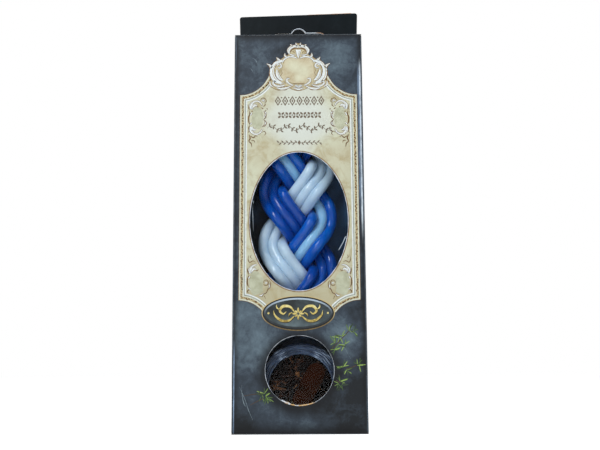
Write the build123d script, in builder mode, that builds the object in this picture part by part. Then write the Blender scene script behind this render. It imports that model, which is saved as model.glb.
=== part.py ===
"""Boxed havdalah set: a plait of nine wax tapers above a pot of cloves, in a windowed carton that hangs.

Millimetres. +X is to the right, +Y to the back, +Z up. The origin is the middle of the carton's foot.
"""

import math
import os

from build123d import *

# Carton: folded board, with a panel glued behind the back one
carton_width = 72.0
carton_depth = 36.0
carton_height = 221.0
board = 0.5
fold_radius = 0.9  # outside of an upright fold
crease_gap = 0.05  # free play beside a crease
side_play = 0.15  # a lid is this much narrower than the carton, each side

# Hanging tab above the carton, and its slot with a round middle
tab_height_left = 26.5
tab_height_right = 28.5
tab_foot_inset = 0.7  # from the carton's side, where the tab starts
tab_flare = 0.9  # how much wider the tab gets to its top, each side
tab_corner = 1.5
slot_width = 32.4
slot_height = 6.6
slot_rise = 9.2  # from the carton's top to the slot's lower edge
slot_middle_radius = 4.7
slot_cut = 0.25  # width of the cut round the punched flap

# Windows in the front panel, and the clear film glued behind them
oval_width = 54.0
oval_height = 77.2
oval_level = 113.5
round_window = 36.8
round_level = 32.9
film = 0.2
film_margin = 5.0

# Closures: a lid with a tongue at its rear edge, over two dust flaps
tongue_length = 12.0
tongue_lean = 20.0  # degrees inward from square to the lid
tongue_play = 1.2  # narrower than the inside of the carton, each side
tongue_corner = 4.0
tongue_gap = 0.1  # between the tongue's crease and the back panel
flap_reach = 28.0
flap_front_play = 0.8
flap_slope = 0.55  # how fast the flap's front edge draws back
flap_rear_play = 2.0  # from the lid's rear crease to the flap
flap_rear_draw = 2.5

# Tray that holds the plait off the pot: a back, two slanted walls and a shelf
tray_board = 0.4
tray_back_width = 54.0
tray_back_from_front = 26.0  # carton's front to the tray's back
tray_wall_reach = 24.5
tray_top = 200.0
tray_foot_gap = 0.25
shelf_level = 52.0
shelf_reach = 23.0
shelf_play = 0.05

# Plait: three strands of three tapers, each strand weaving once in a pitch
plait_pitch = 85.0
taper_diameter = 4.7
taper_spacing = 5.34
strand_swing = 13.24
swing_flare = 0.033  # third harmonic, as a share of the swing
strand_lift = 4.55  # how far a strand comes to the front and the back
lift_crest = -1.02
outer_lift = 1.32  # more of the same on a strand's two outer tapers
outer_crest = 0.33
tilt_slow = 0.88  # a strand's tilt: how far an outer taper comes forward, by harmonic
tilt_middle = 1.51
tilt_quick = 1.56
plait_from_front = 14.0  # carton's front to the plait's middle plane
crossing_level = 102.0  # where the second blue strand crosses over the first
crossing_count_above = 6
crossing_count_below = 3
wax_top = 195.0
seat_gap = 0.05
straight_run = 3.0
bend_count = 12  # bends in a taper for each pitch
wick_diameter = 1.6
wick_play = 0.05
wick_stand = 9.0

# Pot of cloves, lying with its axis front to back
pot_radius = 21.0
pot_wall = 1.2
pot_back_gap = 0.4  # to the tray's back
pot_depth = 18.5
pot_across = 0.5  # to the right of the carton's middle
lid_rim_radius = 23.0
lid_play = 0.3
lid_plate = 1.2
lid_skirt = 4.0
lid_ring_outer = 20.4
lid_ring_inner = 17.6
lid_ring_height = 0.5
lid_ring_width = 1.2
label_length = 26.0
label_width = 10.0
label_sheet = 0.15
label_tilt = 62.0
label_across = 4.4
label_up = 0.3
clove_count = 26
clove_length = 9.5
clove_stem_radius = 0.85
clove_bud_radius = 1.75
clove_play = 0.35
fill_below_rim = 3.2
golden_angle = 137.5

# Faces and axes worked out from the sizes above
front_face = -carton_depth / 2
front_inside = front_face + board
rear_face = carton_depth / 2
glue_face = rear_face - board
back_inside = glue_face - board
side_inside = carton_width / 2 - board
panel_edge = carton_width / 2 - fold_radius
sleeve_middle = (front_face + glue_face) / 2
lid_crease = front_face + board / 2
tongue_crease = back_inside - tongue_gap - board / 2
flap_depth_in = board + crease_gap + board / 2  # flap's middle, below the outside of the lid
wall_end = 2 * (board + crease_gap)
panel_end = board + crease_gap
tab_foot = carton_width / 2 - tab_foot_inset
slot_lower = carton_height + slot_rise
flap_crease = slot_lower + slot_cut + board / 2
tray_back = front_face + tray_back_from_front
tray_half = tray_back_width / 2
plait_middle = front_face + plait_from_front
floor_level = flap_depth_in + board / 2
pot_bottom = tray_back - pot_back_gap
pot_rim = pot_bottom - pot_depth
pot_level = floor_level + lid_play + lid_rim_radius
lid_inside = pot_rim - lid_play
lid_front = lid_inside - lid_plate
upward = (Align.CENTER, Align.MIN)


def level_from(end, inward):
    """Height of a point this far inward of the carton's top or bottom."""
    return carton_height - inward if end == "top" else inward


def upright_plane(y):
    """Plane whose sketches extrude towards the front from this y."""
    return Plane.XZ.offset(-y)


def write(part, name):
    part.label = name
    export_step(part, f"parts/{name}.step")


def slot_outline(cut, mode):
    with Locations((0, slot_lower + slot_height / 2)):
        SlotOverall(slot_width - 2 * cut, slot_height - 2 * cut, mode=mode)
    with Locations((0, slot_lower + slot_middle_radius)):
        Circle(slot_middle_radius - cut, mode=mode)


def make_front_panel():
    with BuildPart() as front_panel:
        with BuildSketch(upright_plane(front_inside)):
            with Locations((0, carton_height / 2)):
                Rectangle(2 * panel_edge, carton_height - 2 * panel_end)
            with Locations((0, oval_level)):
                Ellipse(oval_width / 2, oval_height / 2, mode=Mode.SUBTRACT)
            with Locations((0, round_level)):
                Circle(round_window / 2, mode=Mode.SUBTRACT)
        extrude(amount=board)
    write(front_panel.part, "front_panel")


def make_window_film():
    top = oval_level + oval_height / 2 + film_margin
    bottom = round_level - round_window / 2 - film_margin
    with BuildPart() as window_film:
        with BuildSketch(upright_plane(front_inside + film)):
            with Locations((0, (top + bottom) / 2)):
                Rectangle(oval_width + 2 * film_margin, top - bottom)
        extrude(amount=film)
    write(window_film.part, "window_film")


def make_side(name, side):
    """Side panel with the two upright folds that join it to the front and the back."""
    with BuildPart() as side_panel:
        with BuildSketch(Plane.XY.offset(wall_end)):
            with Locations((0, sleeve_middle)):
                RectangleRounded(carton_width, glue_face - front_face, fold_radius)
                RectangleRounded(
                    carton_width - 2 * board,
                    glue_face - front_face - 2 * board,
                    fold_radius - board,
                    mode=Mode.SUBTRACT,
                )
            with Locations((side * (panel_edge + fold_radius), sleeve_middle)):
                Rectangle(2 * fold_radius, carton_depth, mode=Mode.INTERSECT)
        extrude(amount=carton_height - 2 * wall_end)
    write(side_panel.part, name)


def make_back_sheet(name, rear):
    """Back panel or the panel glued behind it: both run up into the hanging tab."""
    with BuildPart() as sheet:
        with BuildSketch(upright_plane(rear)) as outline:
            with BuildLine():
                Polyline(
                    (-tab_foot, carton_height),
                    (tab_foot, carton_height),
                    (tab_foot + tab_flare, carton_height + tab_height_right),
                    (-tab_foot - tab_flare, carton_height + tab_height_left),
                    close=True,
                )
            make_face()
            fillet(outline.vertices().sort_by(Axis.Y)[-2:], tab_corner)
            with Locations((0, carton_height / 2)):
                Rectangle(2 * panel_edge, carton_height)
            slot_outline(0, Mode.SUBTRACT)
        extrude(amount=board)
    write(sheet.part, name)


def make_slot_flap():
    """Piece punched out of the rear sheet's slot, still joined along its lower edge by a round crease."""
    with BuildPart() as slot_flap:
        with BuildSketch(upright_plane(rear_face)):
            slot_outline(slot_cut, Mode.ADD)
            with Locations((0, flap_crease)):
                Rectangle(slot_width, slot_height + slot_middle_radius, align=upward, mode=Mode.INTERSECT)
        extrude(amount=board)
        with BuildSketch(Plane.YZ):
            with Locations((rear_face - board / 2, flap_crease)):
                Circle(board / 2)
        extrude(amount=(slot_width - slot_height) / 2, both=True)
    write(slot_flap.part, "slot_flap")


def make_lid(end):
    """Lid that folds on the front panel's edge, with a round crease there."""
    middle = level_from(end, board / 2)
    lean = math.radians(tongue_lean)
    slab_end = tongue_crease - board / 2 * (1 + math.sin(lean)) / math.cos(lean) - crease_gap
    lid_width = carton_width - 2 * side_play
    with BuildPart() as lid:
        with BuildSketch(Plane.YZ):
            with Locations(((lid_crease + slab_end) / 2, middle)):
                Rectangle(slab_end - lid_crease, board)
            with Locations((lid_crease, middle)):
                Circle(board / 2)
        extrude(amount=lid_width / 2, both=True)
    write(lid.part, f"{end}_lid")


def make_tongue(end):
    """Tongue that tucks inside the back panel, leaning inward from the lid's rear crease."""
    middle = level_from(end, board / 2)
    down = -1 if end == "top" else 1
    lean = math.radians(tongue_lean)
    reach = (-math.sin(lean), down * math.cos(lean))
    tongue_width = 2 * (side_inside - tongue_play)
    slant = Plane(origin=(0, tongue_crease, middle), x_dir=(1, 0, 0), z_dir=(0, -reach[1], reach[0]))
    with BuildPart() as tongue:
        with BuildSketch(slant) as sheet:
            Rectangle(tongue_width, tongue_length, align=upward)
            fillet(sheet.vertices().group_by(Axis.Y)[-1], tongue_corner)
        extrude(amount=board / 2, both=True)
        with BuildSketch(Plane.YZ):
            with Locations((tongue_crease, middle)):
                Circle(board / 2)
        extrude(amount=tongue_width / 2, both=True)
    write(tongue.part, f"{end}_tongue")


def make_dust_flap(end, name, side):
    """Dust flap that folds on a side panel's edge, its front edge drawn back to clear the lid."""
    middle = level_from(end, flap_depth_in)
    crease = side * (carton_width / 2 - board / 2)
    tip = crease - side * flap_reach
    start = lid_crease + flap_front_play
    stop = tongue_crease - flap_rear_play
    with BuildPart() as dust_flap:
        with BuildSketch(Plane.XY.offset(middle)):
            with BuildLine():
                Polyline(
                    (crease, start),
                    (crease, stop),
                    (tip, stop - flap_rear_draw),
                    (tip, start + flap_slope * flap_reach),
                    close=True,
                )
            make_face()
        extrude(amount=board / 2, both=True)
        with BuildSketch(upright_plane(stop)):
            with Locations((crease, middle)):
                Circle(board / 2)
        extrude(amount=stop - start)
    write(dust_flap.part, f"{end}_dust_flap_{name}")


def make_tray_back():
    wall_foot = tray_half + slanted_thickness()
    with BuildPart() as tray_sheet:
        with BuildSketch(Plane.XY.offset(floor_level + tray_foot_gap)):
            with Locations((0, tray_back + tray_board / 2)):
                Rectangle(2 * wall_foot, tray_board)
        extrude(amount=tray_top - floor_level - tray_foot_gap)
    write(tray_sheet.part, "tray_back")


def slanted_thickness():
    """Thickness of a slanted tray wall, measured along X."""
    run = side_inside - tray_half
    return tray_board * math.hypot(run, tray_wall_reach) / tray_wall_reach


def make_tray_wall(name, side):
    """Tray wall, slanted out from the tray's back to a glued edge on the side panel."""
    across = slanted_thickness()
    glued = across * tray_wall_reach / (side_inside - tray_half)
    with BuildPart() as tray_wall:
        with BuildSketch(Plane.XY.offset(floor_level + tray_foot_gap)):
            with BuildLine():
                Polyline(
                    (side * tray_half, tray_back),
                    (side * (tray_half + across), tray_back),
                    (side * side_inside, tray_back - tray_wall_reach + glued),
                    (side * side_inside, tray_back - tray_wall_reach),
                    close=True,
                )
            make_face()
        extrude(amount=tray_top - floor_level - tray_foot_gap)
    write(tray_wall.part, name)


def make_tray_shelf():
    """Shelf between the tray's walls, under the plait and over the pot."""
    flare = (side_inside - tray_half) * shelf_reach / tray_wall_reach
    rear_half = tray_half - shelf_play
    with BuildPart() as tray_shelf:
        with BuildSketch(Plane.XY.offset(shelf_level)):
            with BuildLine():
                Polyline(
                    (-rear_half, tray_back),
                    (rear_half, tray_back),
                    (rear_half + flare, tray_back - shelf_reach),
                    (-rear_half - flare, tray_back - shelf_reach),
                    close=True,
                )
            make_face()
        extrude(amount=-tray_board)
    write(tray_shelf.part, "tray_shelf")


def taper_centre(strand, place, level):
    """Centre of a taper where its strand is at this level: place is -1, 0 or 1 across the strand."""
    turn = 2 * math.pi * ((crossing_level - level) / plait_pitch + strand / 3 + 1 / 6)
    swing = strand_swing * (math.cos(turn) + swing_flare * math.cos(3 * turn))
    slope = math.sin(turn) + 3 * swing_flare * math.sin(3 * turn)
    slope *= 2 * math.pi * strand_swing / plait_pitch
    forward = strand_lift * math.sin(2 * turn) + lift_crest * math.sin(4 * turn)
    forward += abs(place) * (outer_lift * math.sin(2 * turn) + outer_crest * math.sin(4 * turn))
    for harmonic, tilt in ((1, tilt_slow), (3, tilt_middle), (5, tilt_quick)):
        forward -= place * tilt * math.sin(harmonic * turn)
    across = place * taper_spacing / math.hypot(1, slope)
    return (swing + across, plait_middle - forward, level - across * slope)


def taper_route(strand, place):
    """Points that a taper bends at: upright at both ends, and weaving between."""
    crossing_gap = plait_pitch / 6
    step = plait_pitch / bend_count
    weave_bottom = crossing_level - crossing_count_below * crossing_gap
    weave_top = crossing_level + crossing_count_above * crossing_gap
    bends = round((weave_top - weave_bottom) / step)
    points = [taper_centre(strand, place, weave_bottom + (i + 0.5) * step) for i in range(bends)]
    foot = taper_centre(strand, 0, weave_bottom)
    head = taper_centre(strand, 0, weave_top)
    foot_y = taper_centre(strand, place, weave_bottom)[1]
    head_y = taper_centre(strand, place, weave_top)[1]
    foot_x = foot[0] + place * taper_spacing
    head_x = head[0] + place * taper_spacing
    lower = [(foot_x, foot_y, shelf_level + seat_gap), (foot_x, foot_y, weave_bottom - straight_run)]
    upper = [(head_x, head_y, weave_top + straight_run), (head_x, head_y, wax_top)]
    return lower + points + upper


def bend_radii(points):
    """Radius at each inner point: as large as the two runs beside it allow."""
    radii = []
    for before, here, after in zip(points, points[1:], points[2:]):
        run_in = Vector(*here) - Vector(*before)
        run_out = Vector(*after) - Vector(*here)
        half_turn = math.radians(run_in.get_angle(run_out)) / 2
        radii.append(0.45 * min(run_in.length, run_out.length) / math.tan(half_turn))
    return radii


def make_taper(name, strand, place):
    points = taper_route(strand, place)
    radii = bend_radii(points)
    with BuildPart() as taper:
        with BuildLine() as route:
            FilletPolyline(*points, radius=radii)
        with BuildSketch(Plane(origin=points[0], z_dir=(0, 0, 1))):
            Circle(taper_diameter / 2)
            Circle(wick_diameter / 2 + wick_play, mode=Mode.SUBTRACT)
        sweep()
    section = taper.faces().sort_by(Axis.Z)[0].area
    expected = section * route.wires()[0].length
    print(name, "tightest bend", round(min(radii), 1), "volume share", round(taper.part.volume / expected, 4))
    write(taper.part, f"{name}_taper")

    tip = points[-1]
    wick_points = points[:-1] + [(tip[0], tip[1], tip[2] + wick_stand)]
    with BuildPart() as wick:
        with BuildLine():
            FilletPolyline(*wick_points, radius=radii)
        with BuildSketch(Plane(origin=points[0], z_dir=(0, 0, 1))):
            Circle(wick_diameter / 2)
        sweep()
    write(wick.part, f"{name}_wick")


def make_plait():
    strands = {
        0: ("sky_left", "pale_sky", "sky_right"),
        1: ("white_left", "white_middle", "white_right"),
        2: ("navy_left", "navy_middle", "navy_right"),
    }
    for strand, names in strands.items():
        for place, name in zip((-1, 0, 1), names):
            make_taper(name, strand, place)


def pot_plane(y):
    """Plane square to the pot's axis, its sketches centred on that axis and facing front."""
    return Plane(origin=(pot_across, y, pot_level), x_dir=(1, 0, 0), z_dir=(0, -1, 0))


def make_pot_cup():
    with BuildPart() as pot_cup:
        with BuildSketch(pot_plane(pot_bottom)):
            Circle(pot_radius)
        extrude(amount=pot_depth)
        with BuildSketch(pot_plane(pot_bottom - pot_wall)):
            Circle(pot_radius - pot_wall)
        extrude(amount=pot_depth, mode=Mode.SUBTRACT)
        fillet(pot_cup.faces().sort_by(Axis.Y)[-1].edges(), pot_wall / 2)
    write(pot_cup.part, "pot_cup")


def make_pot_lid():
    """Clear lid with two raised rings and a skirt that goes over the cup."""
    with BuildPart() as pot_lid:
        with BuildSketch(pot_plane(lid_inside)):
            Circle(lid_rim_radius)
        extrude(amount=lid_plate)
        with BuildSketch(pot_plane(lid_inside)):
            Circle(lid_rim_radius)
            Circle(pot_radius + lid_play, mode=Mode.SUBTRACT)
        extrude(amount=-(lid_skirt - lid_plate))
        with BuildSketch(pot_plane(lid_front)):
            for ring in (lid_ring_outer, lid_ring_inner):
                Circle(ring)
                Circle(ring - lid_ring_width, mode=Mode.SUBTRACT)
        extrude(amount=lid_ring_height)
    write(pot_lid.part, "pot_lid")


def make_pot_label():
    with BuildPart() as pot_label:
        with BuildSketch(pot_plane(lid_front)):
            with Locations(Location((label_across, label_up), label_tilt)):
                SlotOverall(label_length, label_width)
        extrude(amount=label_sheet)
    write(pot_label.part, "pot_label")


def make_cloves():
    """Packed cloves: a bed with whole cloves lying on it in a spiral, heads and stems turned about."""
    bed_face = pot_rim + fill_below_rim
    bed_radius = pot_radius - pot_wall - clove_play
    spread = bed_radius - clove_length / 2 - clove_bud_radius / 2
    with BuildPart() as cloves:
        with BuildSketch(pot_plane(pot_bottom - pot_wall)):
            Circle(bed_radius)
        extrude(amount=pot_bottom - pot_wall - bed_face)
        for i in range(clove_count):
            reach = spread * math.sqrt((i + 0.5) / clove_count)
            turn = math.radians(golden_angle * i)
            lie = math.radians(golden_angle * i * 2 + 40)
            middle = Vector(pot_across + reach * math.cos(turn), bed_face, pot_level + reach * math.sin(turn))
            along = Vector(math.cos(lie), 0, math.sin(lie))
            tail = middle - along * (clove_length / 2)
            with BuildSketch(Plane(origin=tail, z_dir=along)):
                Circle(clove_stem_radius)
            extrude(amount=clove_length)
            with Locations(tail + along * (clove_length - clove_bud_radius / 2)):
                Sphere(clove_bud_radius)
    write(cloves.part, "cloves")


def main():
    os.makedirs("parts", exist_ok=True)
    make_front_panel()
    make_window_film()
    make_side("left_side", -1)
    make_side("right_side", 1)
    make_back_sheet("back_panel", glue_face)
    make_back_sheet("hanging_panel", rear_face)
    make_slot_flap()
    for end in ("top", "bottom"):
        make_lid(end)
        make_tongue(end)
        make_dust_flap(end, "left", -1)
        make_dust_flap(end, "right", 1)
    make_tray_back()
    make_tray_wall("tray_left_wall", -1)
    make_tray_wall("tray_right_wall", 1)
    make_tray_shelf()
    make_plait()
    make_pot_cup()
    make_pot_lid()
    make_pot_label()
    make_cloves()


main()
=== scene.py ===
import math

import bmesh
import bpy
import numpy as np
from mathutils import Matrix, Vector


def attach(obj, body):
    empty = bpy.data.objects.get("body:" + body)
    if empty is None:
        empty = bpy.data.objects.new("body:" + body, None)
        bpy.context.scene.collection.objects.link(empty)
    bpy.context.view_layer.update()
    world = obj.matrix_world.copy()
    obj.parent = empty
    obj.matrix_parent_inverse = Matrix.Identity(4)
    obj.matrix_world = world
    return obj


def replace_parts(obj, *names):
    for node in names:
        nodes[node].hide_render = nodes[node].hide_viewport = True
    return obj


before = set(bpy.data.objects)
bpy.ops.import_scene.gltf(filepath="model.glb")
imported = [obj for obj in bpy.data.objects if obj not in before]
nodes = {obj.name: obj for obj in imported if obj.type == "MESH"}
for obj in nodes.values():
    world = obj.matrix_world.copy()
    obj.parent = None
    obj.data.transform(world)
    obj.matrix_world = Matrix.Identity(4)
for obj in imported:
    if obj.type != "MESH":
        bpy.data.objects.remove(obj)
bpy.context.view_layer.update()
mm = 0.001
fullTurn = 2 * math.pi
frontY = -18.0  # the front panel's outer face
bench = {}  # the node tree and the shader being worked on
print("frame loaded:", len(nodes), "nodes")


class Wire:  # a node's output, so that sums of wires make Math nodes
    def __init__(self, socket):
        self.socket = socket

    def __rsub__(self, other):
        return calc("SUBTRACT", other, self)


for mark, kind in {"add": "ADD", "radd": "ADD", "sub": "SUBTRACT", "mul": "MULTIPLY", "truediv": "DIVIDE",
                   "gt": "GREATER_THAN", "lt": "LESS_THAN", "abs": "ABSOLUTE"}.items():
    setattr(Wire, f"__{mark}__", lambda *terms, kind=kind: calc(kind, *terms))


def tint(red, green, blue):  # a screen colour as linear values
    parts = [v / 255 for v in (red, green, blue)]
    return tuple(v / 12.92 if v <= 0.04045 else ((v + 0.055) / 1.055) ** 2.4 for v in parts) + (1.0,)


def join(socket, value):  # links a wire, sets anything else
    if isinstance(value, Wire):
        bench["tree"].links.new(value.socket, socket)
    else:
        socket.default_value = value


def add(kind, values=None, **settings):
    made = bench["tree"].nodes.new(kind)
    for key, value in settings.items():
        setattr(made, key, value)
    for key, value in (values or {}).items():
        join(made.inputs[key], value)
    return made


def wire(kind, values=None, out=0, **settings):
    return Wire(add(kind, values, **settings).outputs[out])


def calc(kind, *terms):
    return wire("ShaderNodeMath", dict(enumerate(terms)), operation=kind)


def chain(kind, first, *others):
    for other in others:
        first = calc(kind, first, other)
    return first


def vec(kind, first, second=(0, 0, 0), out=0):
    return wire("ShaderNodeVectorMath", {0: first, 1: second}, out, operation=kind)


def scaled(vector, factor):
    return wire("ShaderNodeVectorMath", {0: vector, "Scale": factor}, operation="SCALE")


def split(vector):
    return [Wire(out) for out in add("ShaderNodeSeparateXYZ", {0: vector}).outputs]


def joined(x=0.0, y=0.0, z=0.0):
    return wire("ShaderNodeCombineXYZ", {0: x, 1: y, 2: z})


def noise(values, out=0, dimensions="3D"):
    return wire("ShaderNodeTexNoise", values, out, noise_dimensions=dimensions)


def cloud(place, size, detail=6.0, rough=0.6, twist=0.0, stretch=None):  # size in mm
    if stretch:
        place = wire("ShaderNodeMapping", {"Vector": place, "Scale": stretch})
    return noise({"Vector": place, "Scale": 1000 / size, "Detail": detail, "Roughness": rough, "Distortion": twist})


def ranged(value, low, high, newLow=0.0, newHigh=1.0):
    return wire("ShaderNodeMapRange", {"Value": value, "From Min": low, "From Max": high, "To Min": newLow,
                                       "To Max": newHigh}, interpolation_type="SMOOTHSTEP")


def fade(value, low, high, newLow=0.0, newHigh=1.0):  # the same between two places in mm
    return ranged(value, low * mm, high * mm, newLow, newHigh)


def shades(value, stops):  # a colour ramp, its colours by position
    made = add("ShaderNodeValToRGB", {"Fac": value})
    band = made.color_ramp.elements
    while len(band) < len(stops):
        band.new(0.5)
    for stop, (where, colour) in zip(band, stops.items()):
        stop.position = where
        stop.color = tint(*colour)
    return Wire(made.outputs[0])


def mixed(amount, first, second):
    first, second = [c if isinstance(c, Wire) else tint(*c) for c in (first, second)]
    return wire("ShaderNodeMix", {0: amount, 6: first, 7: second}, 2, data_type="RGBA", clamp_factor=True)


def relief(height, strength, distance, under=None):
    values = {"Height": height, "Strength": strength, "Distance": distance * mm}
    if under:
        values["Normal"] = under
    return wire("ShaderNodeBump", values)


def spot(place, x, z, inner, outer):  # 1 within inner mm of a point of the front, 0 past outer
    away = vec("DISTANCE", vec("MULTIPLY", place, (1, 0, 1)), (x * mm, 0, z * mm), "Value")
    return fade(away, inner, outer, 1.0, 0.0)


def newFinish(name, bare=False):
    made = bpy.data.materials.new(name)
    made.use_nodes = True
    bench["tree"] = made.node_tree
    made.node_tree.nodes.clear()
    if not bare:
        bench["shader"] = add("ShaderNodeBsdfPrincipled")
        add("ShaderNodeOutputMaterial", {"Surface": Wire(bench["shader"].outputs[0])})
    return wire("ShaderNodeTexCoord", out="Object")


def wear(colour, rough, bump=None, **more):
    values = {"Base Color": colour, "Roughness": rough, **more}
    if bump:
        values["Normal"] = bump
    for key, value in values.items():
        join(bench["shader"].inputs[key.replace("_", " ")], value)


def dress(names, finish):
    for name in names.split():
        slots = nodes[name].data.materials
        slots.clear()
        slots.append(bpy.data.materials[finish])


def pairs(numbers):  # x and z by turns, as points
    return np.array(numbers, float).reshape(-1, 2)


def flow(points, each):  # a smooth line through points
    points = pairs(points)
    padded = np.vstack([2 * points[0] - points[1], points, 2 * points[-1] - points[-2]])
    line = []
    for i in range(1, len(padded) - 2):
        a, b, c, d = padded[i - 1:i + 3]
        for t in np.arange(each) / each:
            line.append(0.5 * (2 * b + (c - a) * t + (2 * a - 5 * b + 4 * c - d) * t ** 2
                               + (3 * b - a - 3 * c + d) * t ** 3))
    return np.array(line + [padded[-2]])


def sideways(line):  # unit normals of a flat line
    run = np.gradient(line, axis=0)
    run /= np.maximum(np.linalg.norm(run, axis=1), 1e-9)[:, None]
    return np.stack([-run[:, 1], run[:, 0]], axis=1)


def bow(x, z, halfWide, halfHigh, turns):  # part of an ellipse
    return np.stack([x + halfWide * np.cos(turns), z + halfHigh * np.sin(turns)], axis=1)


def ellipse(x, z, halfWide, halfHigh, count):
    return bow(x, z, halfWide, halfHigh, np.linspace(0, fullTurn, count, endpoint=False))


def band(line, first, last):  # the strip between two distances to the side of a line
    side = sideways(line)
    return line + side * np.asarray(first).reshape(-1, 1), line + side * np.asarray(last).reshape(-1, 1)


def stroke(line, width):  # tapering brush line, widths at start, middle and end
    thick = np.interp(np.linspace(0, 1, len(line)), np.linspace(0, 1, len(width)), width) / 2
    return band(line, thick, -thick)


def strokes(each, *drawn):
    return [stroke(flow(points, each), widths) for points, widths in drawn]


def upright(line, y):  # a flat line's points in metres, at depth y
    return [(p[0] * mm, y * mm, p[1] * mm) for p in line]


def link(name, data):
    made = bpy.data.objects.new(name, data)
    bpy.context.scene.collection.objects.link(made)
    return made


def settle(name, mesh, finish, body, smooth=False):
    mesh.materials.append(bpy.data.materials[finish])
    if smooth:
        mesh.shade_smooth()
    piece = link(name, mesh)
    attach(piece, body)
    return piece


def asMesh(name, shape):
    mesh = bpy.data.meshes.new(name)
    shape.to_mesh(mesh)
    shape.free()
    return mesh


def ink(name, finish, bands=(), patches=(), lift=0.03):
    # printed layer on the front: strips and filled outlines, its places in mm
    drawn = bmesh.new()

    def points(line):
        return [drawn.verts.new(place) for place in upright(line, frontY - lift)]

    for edges in bands:
        first, last = [points(edge) for edge in edges]
        for i in range(len(first) - 1):
            drawn.faces.new((first[i], first[i + 1], last[i + 1], last[i]))
    for outline in patches:
        edges = []
        for loop in outline if isinstance(outline, (list, tuple)) else [outline]:
            verts = points(loop)
            edges += [drawn.edges.new((verts[i], verts[(i + 1) % len(verts)])) for i in range(len(verts))]
        bmesh.ops.triangle_fill(drawn, use_beauty=True, use_dissolve=False, edges=edges, normal=(0, -1, 0))
    bmesh.ops.remove_doubles(drawn, verts=drawn.verts, dist=1e-7)
    drawn.normal_update()
    for face in drawn.faces:
        if face.normal.y > 0:
            face.normal_flip()
    piece = settle(name, asMesh(name, drawn), finish, "carton")
    skin = piece.modifiers.new("ink thickness", "SOLIDIFY")
    skin.thickness = 0.012 * mm
    skin.offset = -1


def curveOf(lines, closed=False):  # lines in metres, for a node tree to follow
    data = bpy.data.curves.new("guide", "CURVE")
    data.dimensions = "3D"
    for line in lines:
        run = data.splines.new("POLY")
        run.points.add(len(line) - 1)
        for point, place in zip(run.points, line):
            point.co = (*place, 1)
        run.use_cyclic_u = closed
    return link("guide", data)


def newTree(name, sizes, **numbers):  # sizes in mm; gives the wires of the inputs, the geometry first
    tree = bench["tree"] = bpy.data.node_groups.new(name, "GeometryNodeTree")
    tree.interface.new_socket("Geometry", in_out="INPUT", socket_type="NodeSocketGeometry")
    for label, value in {**{label: size * mm for label, size in sizes.items()}, **numbers}.items():
        kind = "NodeSocketInt" if isinstance(value, int) else "NodeSocketFloat"
        tree.interface.new_socket(label, in_out="INPUT", socket_type=kind).default_value = value
    tree.interface.new_socket("Geometry", in_out="OUTPUT", socket_type="NodeSocketGeometry")
    return [Wire(out) for out in add("NodeGroupInput").outputs[:-1]]


def endTree(shape, finish):
    real = wire("GeometryNodeRealizeInstances", {0: shape})
    done = wire("GeometryNodeSetMaterial", {0: real, "Material": bpy.data.materials[finish]})
    add("NodeGroupOutput", {0: done})
    return bench["tree"]


def copies(places, shape, **more):
    return wire("GeometryNodeInstanceOnPoints", {0: places, "Instance": shape, **more})


def shaded(many, value):  # each copy keeps a shade of its own
    return wire("GeometryNodeStoreNamedAttribute", {0: many, "Name": "shade", "Value": value}, data_type="FLOAT",
                domain="INSTANCE")


def moved(shape, **how):
    return wire("GeometryNodeSetPosition", {0: shape, **how})


def turnedBy(x=0.0, y=0.0):
    return wire("FunctionNodeEulerToRotation", {0: joined(x, y)})


def chance(seed, low, high, extra):
    made = add("FunctionNodeRandomValue", data_type="FLOAT")
    for socket, value in zip([s for s in made.inputs if s.enabled], (low, high)):
        join(socket, value)
    join(made.inputs["Seed"], seed + float(extra))
    return Wire(next(s for s in made.outputs if s.enabled))


def tubeOn(line, sides, thick, byRadius=True):
    ring = wire("GeometryNodeCurvePrimitiveCircle", {"Resolution": sides, "Radius": thick})
    tube = add("GeometryNodeCurveToMesh", {0: line, 1: ring, "Fill Caps": True})
    if byRadius and "Scale" in tube.inputs:  # newer versions ask for the line's own radius as a scale
        join(tube.inputs["Scale"], wire("GeometryNodeInputRadius"))
    return Wire(tube.outputs[0])


def grown(name, source, tree, values, finish, body, smooth=True):
    # runs a node tree on source and keeps the result as a plain mesh
    work = source.modifiers.new("grow", "NODES")
    work.node_group = tree
    for item in tree.interface.items_tree:
        if item.item_type == "SOCKET" and item.in_out == "INPUT" and item.name in values:
            work[item.identifier] = values[item.name]
    ready = source.evaluated_get(bpy.context.evaluated_depsgraph_get())
    mesh = bpy.data.meshes.new_from_object(ready)
    source.modifiers.remove(work)
    bpy.data.objects.remove(source)
    mesh.name = name
    mesh.materials.clear()
    return settle(name, mesh, finish, body, smooth)


def lathe(name, outline, finish, body, segments=128):
    # closed outline of radii and depths, turned about the pot's middle, in mm
    shape = bmesh.new()
    rings = []
    for turn in [fullTurn * i / segments for i in range(segments)]:
        rings.append([shape.verts.new(((pot["x"] + r * math.cos(turn)) * mm, y * mm,
                                       (pot["z"] + r * math.sin(turn)) * mm)) for r, y in pairs(outline)])
    for i, here in enumerate(rings):
        there = rings[(i + 1) % segments]
        for j in range(len(here)):
            k = (j + 1) % len(here)
            shape.faces.new((here[j], there[j], there[k], here[k]))
    bmesh.ops.remove_doubles(shape, verts=shape.verts, dist=1e-6)
    bmesh.ops.dissolve_degenerate(shape, edges=shape.edges, dist=1e-7)
    bmesh.ops.recalc_face_normals(shape, faces=shape.faces)
    mesh = asMesh(name, shape)
    piece = settle(name, mesh, finish, body, True)
    mesh.set_sharp_from_angle(angle=math.radians(38))
    return piece


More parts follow.
